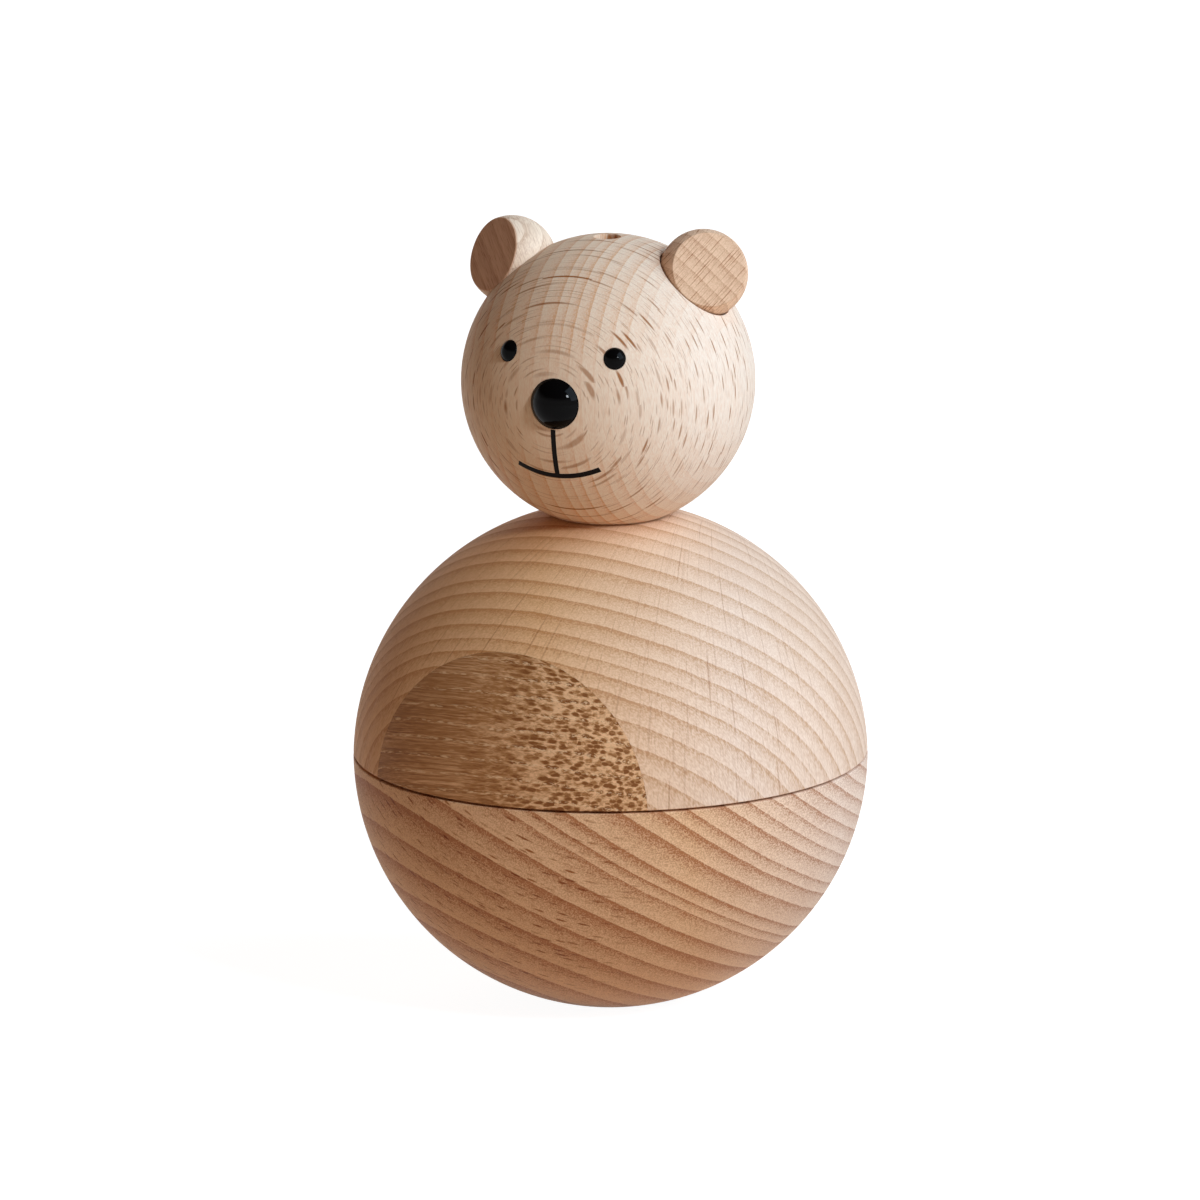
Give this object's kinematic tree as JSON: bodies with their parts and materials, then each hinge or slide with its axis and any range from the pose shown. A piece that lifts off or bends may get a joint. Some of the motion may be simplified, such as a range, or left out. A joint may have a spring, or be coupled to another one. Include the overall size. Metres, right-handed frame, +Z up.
{
  "type": "wooden bear figure",
  "caption": "Turned wooden bear figure: a ball body cut level at its middle and a ball head on a centre dowel, with an oak belly inlay, sunken ball ears and domed pins for eyes and nose.",
  "frame": {"origin": "centre of the flat foot under the lower half", "axes": "+Z up along the dowel, -Y the way the face looks, +X to the bear's left"},
  "size_m": [0.09, 0.09, 0.138],
  "materials": {
    "lower_beech": "fine sanded and oiled, satin, strong slanting growth rings",
    "upper_beech": "fine sanded and oiled, satin, near level growth rings",
    "head_beech": "fine sanded, satin, rings round the face and short ray flecks",
    "ear_beech": "fine sanded, satin, end grain strokes on the flat fronts",
    "oak": "fine sanded and oiled, satin, open pores",
    "dowel_beech": "plain planed dowel",
    "black_lacquer": "black gloss lacquer on a turned pin"
  },
  "bodies": {
    "base": {"lower_body": "lower_beech", "centre_dowel": "dowel_beech"},
    "upper_body": {"upper_body": "upper_beech", "belly_inlay": "oak"},
    "head": {"head": "head_beech", "left_ear": "ear_beech", "right_ear": "ear_beech", "left_eye": "black_lacquer", "right_eye": "black_lacquer", "nose": "black_lacquer"}
  },
  "joints": [
    {"name": "upper_body_turn", "type": "hinge", "parent": "base", "child": "upper_body", "pos_m": [0, 0, 0.04387], "axis": [0, 0, 1], "continuous": true},
    {"name": "head_turn", "type": "hinge", "parent": "base", "child": "head", "pos_m": [0, 0, 0.11], "axis": [0, 0, 1], "continuous": true}
  ]
}
